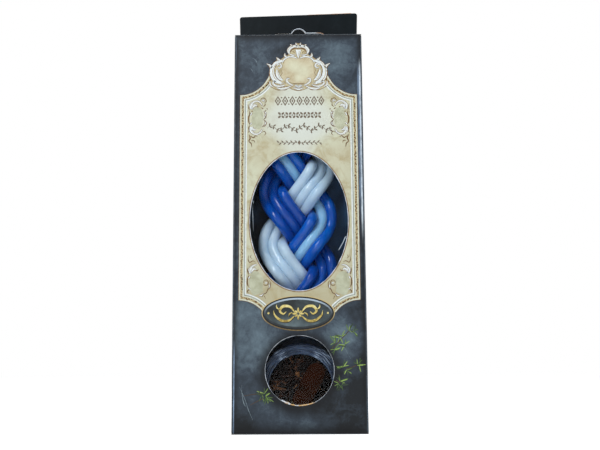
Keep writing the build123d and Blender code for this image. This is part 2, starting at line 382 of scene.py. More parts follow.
# camera, floor and light
shot = {"at": (3.852, -454.336, 34.339), "pan": 0.0075320, "tilt": 0.1738240, "roll": 0.0051315, "lens": 48.75}
turn = (Matrix.Rotation(shot["pan"], 3, "Z") @ Matrix.Rotation(shot["tilt"], 3, "X")
        @ Matrix.Rotation(shot["roll"], 3, "Y"))
lens = bpy.data.cameras.new("camera")
lens.lens, lens.sensor_width = shot["lens"], 36
lens.clip_start, lens.clip_end = 0.01, 50
camera = link("camera", lens)
camera.matrix_world = (Matrix.Translation(Vector(shot["at"]) * mm)
                       @ Matrix((turn.col[0], turn.col[2], -turn.col[1])).transposed().to_4x4())
bpy.context.scene.camera = camera
bpy.context.scene.view_settings.view_transform = "Standard"

studio = {
    "world": 0.42, "floor": 0.65,
    # lamps: place, aim, size in metres, power, colour
    "keyLamp": ((-0.45, -0.75, 0.75), (0, 0, 0.12), (0.24, 1.0), 7.5, (1, 0.99, 0.97)),
    "sideLamp": ((0.7, -0.35, 0.35), (0, 0, 0.12), (0.15, 0.6), 2.2, (0.92, 0.96, 1)),
    "topLamp": ((0.1, 0.25, 0.9), (0, 0, 0.1), (0.5, 0.5), 3.0, (1, 1, 1)),
}
for name in ("keyLamp", "sideLamp", "topLamp"):
    at, aim, size, power, colour = studio[name]
    data = bpy.data.lights.new(name, "AREA")
    data.shape, data.size, data.size_y = "RECTANGLE", *size
    data.energy, data.color = power, colour
    made = link(name, data)
    made.location = at
    made.rotation_euler = (Vector(aim) - Vector(at)).to_track_quat("-Z", "Y").to_euler()

world = bpy.data.worlds.new("room")
bpy.context.scene.world = world
world.use_nodes = True
bench["tree"] = world.node_tree
world.node_tree.nodes.clear()
rays = add("ShaderNodeLightPath").outputs
seen = calc("MAXIMUM", Wire(rays["Is Camera Ray"]), Wire(rays["Is Transmission Ray"]))
level = studio["world"] + seen * (1 - studio["world"])
add("ShaderNodeOutputWorld", {0: wire("ShaderNodeBackground", {"Color": (1, 1, 1, 1), "Strength": level})})

newFinish("paleFloor")
wear((0.8, 0.8, 0.8, 1), 0.9, Emission_Color=(1, 1, 1, 1),
     Emission_Strength=wire("ShaderNodeLightPath", out="Is Camera Ray") * studio["floor"])
plane = bmesh.new()
bmesh.ops.create_grid(plane, x_segments=1, y_segments=1, size=4)
mesh = asMesh("floor", plane)
mesh.materials.append(bpy.data.materials["paleFloor"])
link("floor", mesh)
print("camera, floor and lamps placed")

# the printed board of the carton
slate = {
    "light": (94, 112, 124), "mid": (54, 65, 77), "dark": (24, 29, 34), "black": (9, 11, 15), "tab": (5, 14, 18),
    # colours of the cut edge, the bare inside, the painted fold highlights and the worn side folds
    "cutEdge": (206, 216, 226), "rawInside": (172, 168, 158), "foldHighlight": (206, 219, 230),
    "blueFoldHighlight": (146, 174, 208), "folded": (150, 168, 186), "cloudSize": 24, "grainSize": 1.7,
    "gloss": 0.32, "glint": 0.32, "tabGlint": 0.144,
    # painted light and shade as lighter and darker patches: x, z, inner and outer radius, gain
    "patches": ((-26, 48, 2, 22, 0.165), (-29, 64, 2, 10, 0.07), (25, 50, 2, 17, 0.14), (0, 4, 3, 13, 0.05),
                (21, 208, 2, 18, 0.15), (-24, 207, 1, 14, 0.09), (-30, 191, 2, 9, 0.02), (29, 198, 1, 8, -0.04),
                (27, 14, 3, 24, -0.11), (24, 4, 4, 40, -0.07), (-30, 3, 1, 16, -0.10), (-22, 14, 2, 12, 0.05),
                (35, 62, 3, 12, -0.10), (35, 42, 3, 11, -0.12), (35, 22, 3, 12, -0.06)),
    # painted highlights along the folds: side, low, high, middle of the line, half its width, strength
    "foldHighlights": ((1, 98, 208, 34.65, 0.66, 1.0), (1, 112, 206, 34.0, 1.2, 0.35), (-1, -8, 50, 34.85, 0.5, 0.88),
             (-1, 196, 222, 35.2, 0.4, 0.6)),
}


def boardPrint(name, pieces, outward=None, front=False, dim=1.0, tab=False):
    place = newFinish(name)
    normal = wire("ShaderNodeTexCoord", out="Normal")
    x, y, z = split(place)
    across, depth = abs(x), abs(y)
    smoke = cloud(place, slate["cloudSize"] * 0.3, 5, 0.7, 1.2)
    grain = cloud(place, slate["grainSize"], 4, 0.7)
    tone = cloud(place, slate["cloudSize"], 7, 0.62, 0.5) * 0.5 + (smoke * 0.34 + grain * 0.18)
    if front:
        # painted light and shade in patches over the front's print
        for *where, gain in slate["patches"]:
            tone = tone + spot(place, *where) * gain
    colour = shades(tone, {0.34: slate["dark"], 0.53: slate["mid"], 0.74: slate["light"]})
    if front:
        halo = spot(place, 0.2, 31.6, 18.6, 25.5)  # printed shade round the lower window
        # painted shade: darker towards the side edges, the bottom and the top
        paintedEdgeShade = (fade(across, 31.5, 35.6, 0.0, 0.84), fade(z, 0.0, 8, 0.9, 0.0), fade(z, 215, 221, 0.0, 0.82))
        colour = mixed(chain("MAXIMUM", halo * 0.85, *paintedEdgeShade), colour, slate["black"])
        # painted highlights on the rounded folds of the front, broken up by streaky noise
        glintBreakup = ranged(cloud(place, 3.5, 6, 0.75, 0, (1, 1, 0.3)), 0.34, 0.6, 0.35, 1.0)
        for side, low, high, middle, half, gain in slate["foldHighlights"]:
            strip = fade(abs(x * float(side) - middle * mm), half * 0.35, half, 1.0, 0.0)
            ends = fade(z, low, low + 24) * fade(z, high - 12, high, 1.0, 0.0)
            colour = mixed(strip * ends * (glintBreakup * gain), colour, slate["foldHighlight" if gain > 0.9 else "blueFoldHighlight"])
    elif tab:
        colour = mixed(fade(z, 215, 221, 0.0, 0.93), colour, slate["tab"])
    # painted shade: dim darkens this copy of the same print towards black
    if dim < 1:
        colour = mixed(1 - dim, colour, slate["black"])
    if front:
        # painted shade on the last strip of the front before each fold
        colour = mixed(fade(across, 35.25, 35.6, 0.0, 0.8), colour, slate["black"])
    else:
        rub = ranged(cloud(place, 3.5, 6, 0.75, 0, (1, 1, 0.35)), 0.50, 0.66)
        rub = fade(across, 35.2, 35.75) * fade(depth, 17.1, 17.7) * rub
        colour = mixed(rub * 0.3, colour, slate["folded"])
    # printed side, cut edge or bare inside, by which way the board faces
    facing = vec("DOT_PRODUCT", normal, outward or vec("NORMALIZE", vec("MULTIPLY", place, (1, 1, 0))), "Value")
    isPrint, isBare = facing > 0.3, facing < -0.3
    if tab:  # above the carton both faces are printed, and only the slot's right side shows a pale cut
        above = z > 220.6 * mm
        pale = (x > -5.9 * mm) * (x < 17 * mm) * (z < 244 * mm)
        isPrint = calc("MAXIMUM", isPrint, above * calc("MAXIMUM", isBare, 1.0 - pale))
        isBare = isBare - isBare * above
    # the creases along the carton's own edges are folded print, not cuts
    level = abs(z - 110.5 * mm)
    atFold = calc("MAXIMUM", across > 35.3 * mm, (level > 109.9 * mm) * (level < 111 * mm))
    if not (front or tab):
        atFold = calc("MAXIMUM", atFold, depth > 17.35 * mm)
    isPrint = calc("MAXIMUM", isPrint, atFold * (facing > -0.8))
    fibre = cloud(place, 0.6, 5, 0.7)
    edge, bare = [mixed(fibre, [v - darker for v in slate[key]], slate[key])
                  for key, darker in (("cutEdge", 30), ("rawInside", 14))]
    shine = (slate["gloss"] + smoke * 0.14) * isPrint + (1.0 - isPrint) * 0.85
    waves = relief(cloud(place, 30, 2, 0.5), 0.35, 0.5)
    wear(mixed(isPrint, mixed(isBare, edge, bare), colour), shine, relief(grain, 0.12, 0.05, waves),
         Specular_IOR_Level=slate["tabGlint" if tab else "glint"])
    dress(pieces, name)


boardPrint("slateFront", "front_panel", (0, -1, 0), front=True)
boardPrint("slateSides", "left_side right_side", dim=0.86)
boardPrint("slateBackInner", "back_panel", (0, 1, 0), tab=True)
boardPrint("slateBack", "hanging_panel", (0, 1, 0), tab=True, dim=0.95)
# painted shade: the flap is darkened to half, standing in for the shade behind the slot
boardPrint("slateFlap", "slot_flap", (0, 1, 0), tab=True, dim=0.5)
boardPrint("tongueSlate", "top_tongue bottom_tongue", (0, 1, 0), dim=0.85)
for end, up in (("top", 1), ("bottom", -1)):
    boardPrint(end + "Slate", f"{end}_lid {end}_dust_flap_left {end}_dust_flap_right", (0, 0, up), dim=0.9)

place = newFinish("trayPrint")
# painted light: the tray grows lighter towards the right and darker towards the left
mist = cloud(place, 18, 6, 0.6, 0.4) + fade(split(place)[0], -24, 20, -0.15, 0.2)
wear(shades(mist, {0.28: (15, 28, 42), 0.5: (37, 62, 90), 0.72: (62, 100, 138)}), 0.5,
     relief(cloud(place, 0.5, 3), 0.15, 0.04), Specular_IOR_Level=0.3)
dress("tray_back tray_left_wall tray_right_wall tray_shelf", "trayPrint")


def clearSheet(name, tone, gloss, rough, waves, size):
    bent = relief(cloud(newFinish(name, True), size, 3, 0.5), waves, 0.5)
    sheen = wire("ShaderNodeBsdfGlossy", {"Color": (1, 1, 1, 1), "Roughness": rough, "Normal": bent})
    through = wire("ShaderNodeBsdfTransparent", {"Color": tone})
    rim = wire("ShaderNodeFresnel", {"IOR": gloss, "Normal": bent})
    add("ShaderNodeOutputMaterial", {0: wire("ShaderNodeMixShader", {0: rim, 1: through, 2: sheen})})


clearSheet("windowFilm", (0.97, 0.985, 1, 1), 1.16, 0.06, 0.12, 12)
dress("window_film", "windowFilm")
print("carton board, tray and film finished")

# the plait: nine tapers in three strands, sizes in mm
plait = {
    "Pitch": 91, "Centre": -0.85, "Swing": 13.4, "Lift": 4.95, "Crest": -1.02, "Outer lift": 1.32,
    "Outer crest": 0.33, "Tilt 1": 0.88, "Tilt 3": 1.51, "Tilt 5": 1.56,
    "Spacing": 5.34, "Middle": -4.0, "Crossing level": 102.8,
    "Low level": 59.5, "High level": 187, "Foot level": 52.05, "Top level": 195, "Taper radius": 2.95,
    "Unevenness": 0.16,
}
plaitForm = {"Flare": 0.033, "Strand": 0.0, "Place": 0.0, "Steps": 300, "Seed": 1.0}
strands = (("sky_left", "pale_sky", "sky_right"), ("white_left", "white_middle", "white_right"),
           ("navy_left", "navy_middle", "navy_right"))
waxes = {  # colour, depths and the light's reach in red, green and blue
    "blueWax": ((5, 112, 214), (3, 78, 174), (0.15, 0.6, 1.0)),
    "whiteWax": ((213, 233, 246), (188, 216, 238), (0.9, 1.0, 1.1)),
    "darkBlueWax": ((4, 95, 198), (2, 65, 158), (0.15, 0.5, 1.0)),
    "paleBlueWax": ((164, 214, 246), (134, 190, 232), (0.6, 0.9, 1.1)),
}
for name, (colour, deep, glow) in waxes.items():
    place = newFinish(name)
    specks = ranged(cloud(place, 0.9, 3, 0.6), 0.68, 0.78)
    body = mixed(ranged(cloud(place, 14, 5, 0.6, 0.3), 0.3, 0.75), deep, colour)
    wear(mixed(specks * 0.10, body, (236, 242, 248)), 0.07 + cloud(place, 5, 5, 0.7) * 0.11,
         relief(cloud(place, 3.2, 5, 0.65), 0.22, 0.12), Subsurface_Weight=0.35, Subsurface_Scale=2.2 * mm,
         Subsurface_Radius=glow)

(line, pitch, centre, swing, lift, crest, outerLift, outerCrest, tilt1, tilt3, tilt5, spacing, middle, crossing, low,
 high, foot, top, thick, uneven, flare, strand, place, steps, seed) = newTree("plaited tapers", plait, **plaitForm)
line = wire("GeometryNodeResampleCurve", {"Curve": line, "Count": steps})
level = split(wire("GeometryNodeInputPosition"))[2]
held = calc("MINIMUM", calc("MAXIMUM", level, low), high)
turn = ((crossing - held) / pitch + strand / 3.0 + 1 / 6) * fullTurn
sine = {times: calc("SINE", turn * float(times)) for times in range(1, 6)}
cosine = {times: calc("COSINE", turn * float(times)) for times in (1, 3)}
sway = swing * (cosine[1] + flare * cosine[3])
slope = swing * fullTurn / pitch * (sine[1] + flare * 3.0 * sine[3])
outer = outerLift * sine[2] + outerCrest * sine[4]
tilt = tilt1 * sine[1] + tilt3 * sine[3] + tilt5 * sine[5]
forward = lift * sine[2] + crest * sine[4] + abs(place) * outer + place * -1.0 * tilt
across = place * spacing / calc("SQRT", 1.0 + slope * slope)
fromTop = (top - level) / (top - high)
ease = chain("MINIMUM", (level - foot) / (low - foot), fromTop, 1.0)
point = joined(sway + across + centre, middle - forward, level - ease * (across * slope))
slim = wire("ShaderNodeMapRange", {"Value": fromTop, "From Max": 0.28, "To Min": 0.55})
line = moved(wire("GeometryNodeSetCurveRadius", {0: line, "Radius": slim}), Position=point)
lump = noise({"W": seed, "Scale": 70.0, "Detail": 3.0}, dimensions="4D")
push = scaled(wire("GeometryNodeInputNormal"), (lump - 0.5) * uneven)
tree = endTree(moved(tubeOn(line, 24, thick), Offset=push), "blueWax")
heads = []
for strand, members in enumerate(strands):
    for place, name in zip((-1, 0, 1), members):
        which = 3 if name == "pale_sky" else strand
        source = curveOf([[(0, 0, plait["Foot level"] * mm), (0, 0, plait["Top level"] * mm)]])
        values = {"Strand": float(strand), "Place": float(place), "Seed": strand * 3.0 + place}
        taper = grown(name, source, tree, values, list(waxes)[which], "candle")
        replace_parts(taper, name + "_taper")
        spots = np.array([v.co for v in taper.data.vertices if v.co.z > (plait["Top level"] - 0.3) * mm])
        heads.append(spots.mean(axis=0))
print("plait grown:", len(heads), "tapers")

wick = {"sizes": {"Ply radius": 0.42, "Lay radius": 0.36, "Height": 9.0}, "twists": 4.5}
fuzz = cloud(newFinish("wickCotton"), 0.5, 4, 0.7)
wear(shades(fuzz, {0.3: (196, 188, 168), 0.7: (236, 230, 214)}), 0.8, relief(fuzz, 0.5, 0.1), Sheen_Weight=0.3)
feet, ply, lay, height, twists = newTree("twisted wicks", wick["sizes"], Twists=wick["twists"])
spiral = wire("GeometryNodeCurveSpiral", {"Resolution": 14, "Rotations": twists, "Start Radius": lay,
                                          "End Radius": lay, "Height": height})
ply = tubeOn(spiral, 8, ply, False)
plies = add("GeometryNodeJoinGeometry")
for i in range(3):
    join(plies.inputs[0], wire("GeometryNodeTransform", {0: ply, "Rotation": (0, 0, i * fullTurn / 3)}))
tree = endTree(copies(feet, Wire(plies.outputs[0])), "wickCotton")
mesh = bpy.data.meshes.new("wickFeet")
mesh.from_pydata([tuple(Vector(h) - Vector((0, 0, 0.3 * mm))) for h in heads], [], [])
wicks = grown("wicks", link("wickFeet", mesh), tree, {}, "wickCotton", "candle")
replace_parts(wicks, *[name + "_wick" for members in strands for name in members])
print("wicks twisted")

# the pot of cloves
pot = {"x": 0.5, "z": 24.35, "scatter": {"Gap": 2.3, "Depth": 1.2}, "crumbGap": 1.5}
clearSheet("cupPlastic", (0.86, 0.9, 0.95, 1), 1.45, 0.12, 0.3, 8)
clearSheet("lidPlastic", (0.96, 0.97, 0.98, 1), 1.14, 0.09, 0.35, 6)
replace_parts(lathe("pot_of_cloves", (0, 7.6, 20.1, 7.6, 20.7, 7.35, 21, 6.8, 21, -10.5, 20.8, -10.9, 20.1, -10.9, 19.8,
                                    -10.5, 19.8, 5.8, 19.3, 6.4, 0, 6.4), "cupPlastic", "pot"), "pot_cup")
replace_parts(lathe("pot_cover", (0, -12.4, 17, -12.4, 17, -11.2, 0, -11.2), "lidPlastic", "pot_lid"), "pot_lid")

x, depth, z = split(vec("SUBTRACT", newFinish("rimPlastic"), (pot["x"] * mm, 0, pot["z"] * mm)))
angle = calc("ARCTAN2", z, x)
polar = joined(calc("SQRT", x * x + z * z) * (1 / mm), angle * 1.6, depth)
rings = noise({"Vector": polar, "Scale": 2.1, "Detail": 5.0, "Roughness": 0.65})
soft = noise({"Vector": polar, "Scale": 0.7, "Detail": 3.0})
colour = shades(rings * 0.6 + soft * 0.4, {0.36: (17, 24, 36), 0.5: (44, 57, 78), 0.66: (84, 105, 136)})
for lean, inner, outer, gain in ((54, 6, 22, 0.9), (121, 3, 12, 0.8)):  # painted highlights on stretches of the rings
    arc = ranged(abs(angle - math.radians(lean)), math.radians(inner), math.radians(outer), 1.0, 0.0)
    colour = mixed(arc * ranged(rings, 0.48, 0.66, 0.0, gain), colour, (176, 194, 216))
wear(colour, 0.24, relief(rings, 0.25, 0.12), Specular_IOR_Level=0.4)
lathe("pot_cover_rim", (17, -12.4, 17.3, -12.8, 17.7, -12.9, 18.1, -12.8, 18.4, -12.4, 19.3, -12.4, 19.6, -12.8,
                        20, -12.9, 20.4, -12.8, 20.7, -12.4, 21.3, -12.4, 21.6, -12.7, 22.1, -12.7, 22.5, -12.35,
                        22.85, -12, 23, -11.5, 23, -8.4, 22.3, -8.4, 22.1, -10.9, 21.7, -11.2, 17, -11.2),
      "rimPlastic", "pot_lid", 160)

place = newFinish("driedClove")
x, _, z = split(place)
grain = cloud(place, 1.1, 5, 0.7, 0.4)
own = wire("ShaderNodeAttribute", out="Fac", attribute_name="shade")
tone = own * 0.75 + grain * 0.35
colour = shades(tone, {0.12: (9, 4, 2), 0.5: (24, 12, 6), 0.82: (55, 31, 20), 0.97: (152, 102, 62)})
dust = fade(z, 15.2, 17.2, 1.0, 0.0) * fade(abs(x), 6, 9, 1.0, 0.0) * ranged(cloud(place, 1.6, 3), 0.42, 0.5)
wear(mixed(dust, colour, (206, 170, 112)), 0.6, relief(grain, 0.5, 0.15), Specular_IOR_Level=0.06)

clove = bmesh.new()
rings = []
for r, z in pairs((0.32, -4.8, 0.72, -4.3, 0.95, -1, 1.1, 1.8, 1.75, 2.7, 1.95, 3.3, 1, 3.5, 1.3, 4.1, 0.75, 4.7)):
    turns = np.arange(8) * math.pi / 4
    wide = [1.25 if 2.5 < z < 3.4 and i % 2 else 1 for i in range(8)]  # the four arms of the calyx
    rings.append([clove.verts.new((r * mm * math.cos(a) * w, r * mm * math.sin(a), z * mm))
                  for a, w in zip(turns, wide)])
for low, high in zip(rings, rings[1:]):
    for i in range(8):
        clove.faces.new((low[i], low[(i + 1) % 8], high[(i + 1) % 8], high[i]))
clove.faces.new(rings[0][::-1])
clove.faces.new(rings[-1])
oneClove = link("oneClove", asMesh("oneClove", clove))

bed, gap, depth, tilt, smallest, largest, seed = newTree("scattered cloves", pot["scatter"], Tilt=0.28, Smallest=0.75,
                                                         Largest=1.0, Seed=3)
dots = wire("GeometryNodeDistributePointsOnFaces", {
    0: bed, "Distance Min": gap, "Density Max": 900000.0, "Seed": seed}, distribute_method="POISSON")
dots = moved(dots, Offset=joined(y=chance(seed, depth * -1.0, depth, 1)))
lean = turnedBy(chance(seed, tilt * -1.0, tilt, 2), chance(seed, 0.0, fullTurn, 3))
piece = wire("GeometryNodeObjectInfo", {"Object": oneClove}, "Geometry")
many = copies(dots, piece, Rotation=lean, Scale=chance(seed, smallest, largest, 4))
tree = endTree(shaded(many, chance(seed, 0.0, 1.0, 5)), "driedClove")


def disc(radius, y):
    data = bpy.data.meshes.new("disc")
    data.from_pydata(upright(ellipse(pot["x"], pot["z"], radius, radius, 48), y), [], [list(range(48))])
    return link("disc", data)


whole = grown("whole_cloves", disc(14.6, -7.9), tree, {"Seed": 4}, "driedClove", "pot")
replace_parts(whole, "cloves")
values = {"Gap": pot["crumbGap"] * mm, "Smallest": 0.32, "Largest": 0.5, "Tilt": 1.0, "Seed": 11}
grown("clove_crumbs", disc(17.6, -7.0), tree, values, "driedClove", "pot")
bpy.data.objects.remove(oneClove)
lathe("clove_bed", (0, -6.4, 8, -6.6, 14, -6.2, 18.6, -6, 19.6, -5.2, 19.6, 5.2, 19, 6.2, 0, 6.2), "driedClove",
      "pot", 64)

place = newFinish("brownLabel")
wear(shades(cloud(place, 9, 4, 0.6), {0.3: (24, 8, 0), 0.7: (50, 19, 3)}), 0.55,
     relief(cloud(place, 1.5, 5, 0.7), 0.2, 0.05), Specular_IOR_Level=0.04)
dress("pot_label", "brownLabel")
print("pot, cover and cloves made")

inks = {  # dark, light, size of the speckle, roughness, and a tint between two levels
    "brownInk": ((78, 55, 31), (132, 101, 61)), "creamInk": ((186, 192, 178), (208, 213, 200), 2.5),
    "beigeInk": ((160, 154, 118), (194, 192, 160), 1.0), "tanInk": ((150, 130, 88), (184, 166, 124), 1.4),
    "bandInk": ((160, 142, 102), (196, 184, 146), 0.9), "greyBlueInk": ((104, 118, 122), (142, 154, 156), 1.5),
    "whiteInk": ((196, 206, 208), (222, 229, 230), 2.0), "groundInk": ((150, 136, 100), (198, 192, 160), 1.6),
    "titleInk": ((88, 78, 66), (126, 114, 98), 0.9), "darkInk": ((10, 12, 14), (20, 23, 26)),
    "rimInk": ((96, 78, 44), (132, 110, 66), 1.2, 0.34, (56, 66, (190, 172, 124))),
    "bevelInk": ((34, 40, 44), (50, 58, 62), 3.0, 0.3, (61, 72, (170, 188, 204))),
    "ovalInk": ((110, 84, 54), (150, 122, 84)), "rubInk": ((84, 100, 110), (122, 140, 150), 0.8),
    "filmCrease": ((120, 136, 152), (196, 210, 224), 0.6, 0.25), "stemInk": ((40, 33, 26), (78, 60, 44), 1.5),
}


def inkFinish(name, dark, light, size=1.2, rough=0.36, tinted=None):
    place = newFinish(name)
    speck = cloud(place, size, 5, 0.7)
    colour = shades(speck, {0.34: dark, 0.66: light})
    if tinted:
        colour = mixed(fade(split(place)[2], *tinted[:2]), colour, tinted[2])
    wear(colour, rough, relief(speck, 0.1, 0.03))


for name, look in inks.items():
    inkFinish(name, *look)

# the label printed on the front
label = {
    "middle": 0.1, "arc": (15.6, 199.4, 16.5, 196.8, 18.3, 193.4, 21.1, 189.9, 25.1, 187, 29.1, 185.5, 32.8, 185.1),
    "lowerArc": (33, 70.2, 28.7, 69.6, 25, 68.2, 21.8, 66, 19.4, 63.4),
    "oval": (0.0, 113.5, 27.0, 38.6), "window": (0.0, 32.9, 18.4),
    "paper": (196, 200, 177), "darkPaper": (164, 153, 117), "glow": (205, 213, 207), "stain": (178, 167, 136),
}


def mirrored(line):
    return np.stack([2 * label["middle"] - line[:, 0], line[:, 1]], axis=1)


def ovalEdge(grow, count=160):
    x, z, wide, high = label["oval"]
    return ellipse(x, z, wide + grow, high + grow, count)


rightArc, rightLow = flow(label["arc"], 6), flow(label["lowerArc"], 6)
rightEdge = np.vstack([rightArc, rightLow])
sheetEdge = np.vstack([rightEdge, mirrored(rightEdge)[::-1]])
place = newFinish("agedPaper")
x, _, z = split(place)
grain = cloud(place, 0.7, 4, 0.7)
colour = mixed(ranged(cloud(place, 9, 8, 0.68, 0.6), 0.42, 0.72), label["paper"], label["darkPaper"])
colour = mixed(ranged(cloud(place, 26, 4, 0.6, 0.3), 0.45, 0.7) * 0.35, colour, label["stain"])
for where in ((0.4, 183, 7, 19), (-9, 170, 6, 15), (10, 170, 6, 15), (0, 158, 4, 14), (0, 169, 6, 17)):
    colour = mixed(spot(place, *where) * 0.7, colour, label["glow"])
# darker towards the bottom and towards the right
darkerLowAndRight = calc("MAXIMUM", fade(z, 70, 94, 0.62, 0.0), fade(x, 22, 33, 0.0, 0.4))
colour = mixed(darkerLowAndRight, colour, label["darkPaper"])
wear(mixed(grain * 0.15, colour, (156, 146, 120)), 0.38, relief(grain, 0.12, 0.04))
ink("label_paper", "agedPaper", patches=[[sheetEdge, ovalEdge(0.12)]], lift=0.02)

# the border: bands measured inwards from the label's edge, with their ink and lift
border = {
    "beige": (0.0, 3.4, "beigeInk", 0.03), "shade": (-0.16, 0.12, "brownInk", 0.034),
    "edge": (0.1, 0.72, "creamInk", 0.038), "brown": (1.0, 2.0, "bandInk", 0.042),
    "cream": (2.15, 2.75, "creamInk", 0.042), "blue": (2.8, 3.14, "greyBlueInk", 0.042),
    "white": (3.28, 3.98, "whiteInk", 0.046),
}
blots = {"Gap": 0.56, "Blot size": 0.3, "Spread": 0.46}


def evenly(line, count):  # the line resampled to evenly spaced points
    far = np.concatenate([[0], np.cumsum(np.linalg.norm(np.diff(line, axis=0), axis=1))])
    at = np.linspace(0, far[-1], count)
    return np.stack([np.interp(at, far, line[:, 0]), np.interp(at, far, line[:, 1])], axis=1)


def insetEdge(amount):  # the label's right edge moved inwards, square at both corners
    side = label["arc"][-2] - amount
    parts = []
    for arc, inwards in ((rightArc, -amount), (rightLow[::-1], amount)):
        keep = arc + sideways(arc) * inwards
        keep = keep[keep[:, 0] < side]
        last, before = keep[-1], keep[-2]
        slope = (last[1] - before[1]) / (last[0] - before[0])
        parts.append(evenly(np.vstack([keep, (side, last[1] + slope * (side - last[0]))]), 48))
    upper, lower = parts[0], parts[1][::-1]
    return np.vstack([upper, evenly(np.array([upper[-1], lower[0]]), 24)[1:-1], lower])


for name, (first, last, finish, lift) in border.items():
    edges = insetEdge(first), insetEdge(last)
    ink("border_" + name, finish, [edges, [mirrored(edge) for edge in edges]], lift=lift)


def alongLine(line, gap):  # points along a line, and its heading at each
    line = wire("GeometryNodeResampleCurve", {"Curve": line, "Length": gap}, mode="LENGTH")
    points = add("GeometryNodeCurveToPoints", {"Curve": line}, mode="EVALUATED").outputs
    x, _, z = split(Wire(points["Tangent"]))
    return Wire(points[0]), calc("ARCTAN2", z * -1.0, x)


line, gap, size, spread, seed = newTree("stippled band", blots, Seed=7)
dots, heading = alongLine(line, gap)
less = spread * -1.0
dots = moved(dots, Offset=joined(chance(seed, less, spread, 1), z=chance(seed, less, spread, 2)))
blot = wire("GeometryNodeMeshCircle", {"Vertices": 7, "Radius": size}, fill_type="NGON")
wide = joined(chance(seed, 0.5, 2.1, 3), chance(seed, 0.5, 1.5, 4), 1.0)
way = turnedBy(math.pi / 2, heading + chance(seed, -0.5, 0.5, 5))
tree = endTree(copies(dots, blot, Rotation=way, Scale=wide), "brownInk")
line = insetEdge(sum(border["brown"][:2]) / 2)
source = curveOf([upright(edge, frontY - 0.055) for edge in (line, mirrored(line))])
grown("border_stipple", source, tree, {}, "brownInk", "carton", False)
print("label and border printed")

# the scrollwork of the cartouches, right halves; each stroke is its points (x and z by turns) and widths in mm
crest = {
    "fill": (
        ((9, 205.3, 12.4, 204, 14.4, 201.2, 14.95, 198.8, 14.2, 195.6, 12.2, 193.2, 9.6, 192.2),
         (1.1, 1.9, 2.2, 2.4, 2.6, 2.3, 1)),
        ((12.2, 200.2, 11.8, 197.4, 10.8, 195.2, 8.9, 193.7), (0.5, 1.9, 2, 0.7)),
        ((12.3, 202.5, 10.3, 203.5, 9.6, 202, 10.7, 200.9, 11.5, 201.5), (0.4, 0.9, 0.9, 0.7, 0.3)),
        ((15, 201.2, 16.2, 202.6, 17.9, 203.6), (1.6, 1, 0.12)),
        ((10.7, 205.4, 11.6, 206.4, 12.4, 207.4), (1.4, 0.9, 0.12)),
        ((6.8, 207.2, 7.7, 208.4, 7.5, 209.8), (1.3, 0.8, 0.12)),
        ((0.8, 206.7, 3.2, 207.6, 6, 207.4, 8.2, 205.8, 9, 204.2), (0.4, 0.8, 0.8, 0.8, 0.4)),
        ((5.2, 209.6, 5.5, 211.5, 4.1, 213.2, 2, 213.9, 0.2, 213.7), (0.8, 1.6, 1.6, 1.4, 1.4)),
        ((1.5, 208.6, 3.4, 208.6, 5.1, 209.3), (0.3, 0.7, 0.4)), ((0.8, 213.8, 1.2, 214.9, 1.4, 216), (1, 0.7, 0.12)),
        ((3.3, 213.7, 3.9, 214.5, 4.6, 215), (1, 0.7, 0.1)),
        ((3, 190.6, 5, 191.6, 6.6, 193.2, 6.2, 194.8, 4.9, 194.4), (0.4, 0.9, 1.2, 0.8, 0.3)),
        ((4, 190.4, 6.8, 189.1, 9.8, 188.7, 12.1, 189.3), (0.3, 1.1, 1.2, 0.4)),
        ((7.4, 191.1, 9.6, 190.2, 12.4, 190.4, 14.3, 191.8, 13.7, 193.3, 12.5, 192.8), (0.3, 0.9, 1.1, 1, 0.7, 0.3)),
        ((14.4, 189.8, 15.9, 191.1, 16.1, 193.2), (0.3, 1.1, 0.3)),
        ((8.2, 192.4, 9.8, 191.5, 11, 191.8), (0.2, 0.5, 0.2))),
    "centre": (
        ((0, 211.8, 0, 209.4, 0, 206.7), (3.1, 2, 0.3)), ((-2.9, 189.2, 0, 188.4, 2.9, 189.2), (0.3, 1.1, 0.3))),
    "line": (
        ((9.2, 204.3, 12.3, 202.9, 13.6, 199.6, 12.8, 196.2, 10.9, 194), (0.12, 0.26, 0.3, 0.26, 0.12)),
        ((4.5, 210.3, 3.4, 212, 1.6, 212.7, 0, 212.6), (0.3, 0.7, 0.7, 0.6)),
        ((9.8, 199.8, 9.2, 198, 10, 196.4), (0.12, 0.3, 0.12)),
        ((15.9, 199.6, 16.4, 197.2, 15.6, 194.6), (0.15, 0.45, 0.15)),
        ((3.6, 191.9, 1.8, 191.6, 0, 191.9), (0.15, 0.4, 0.2)),
        ((5.8, 190.2, 8.4, 190, 10.6, 189.6), (0.1, 0.35, 0.1)),
        ((12.8, 191.2, 13.4, 192, 12.9, 192.4), (0.1, 0.3, 0.1)),
        ((2.2, 209.6, 2.6, 210.6, 3.6, 210.8), (0.12, 0.35, 0.12))),
    "ground": (
        0, 215.5, 1.3, 215.8, 1.7, 214.9, 3.5, 214.7, 4.4, 214.7, 4.6, 213.7, 5.9, 212.3, 6.2, 210.9, 5.5, 209.4, 6.6,
        208.3, 7.3, 209.4, 8.1, 207.6, 9.3, 206.6, 10.6, 206.1, 12.1, 207.1, 12.3, 205.6, 14, 204.2, 15.3, 202.4,
        17.3, 203.3, 16.1, 200.6, 16.5, 198.4, 16.1, 195.8, 15.3, 193.9, 16.5, 192.4, 16, 190.4, 14, 189, 11.6, 187.9,
        9.6, 188, 7, 188, 5.4, 189.2, 3.9, 188.5, 2, 187.8, 0, 187.5),
    "field": (
        0, 206.4, 3.2, 207.1, 6.2, 206.7, 7.9, 204.9, 8.4, 202.6, 8.7, 200.4, 9.9, 198.4, 9.4, 195.6, 7.2, 193.9, 3.2,
        192.4, 0, 191.9),
}
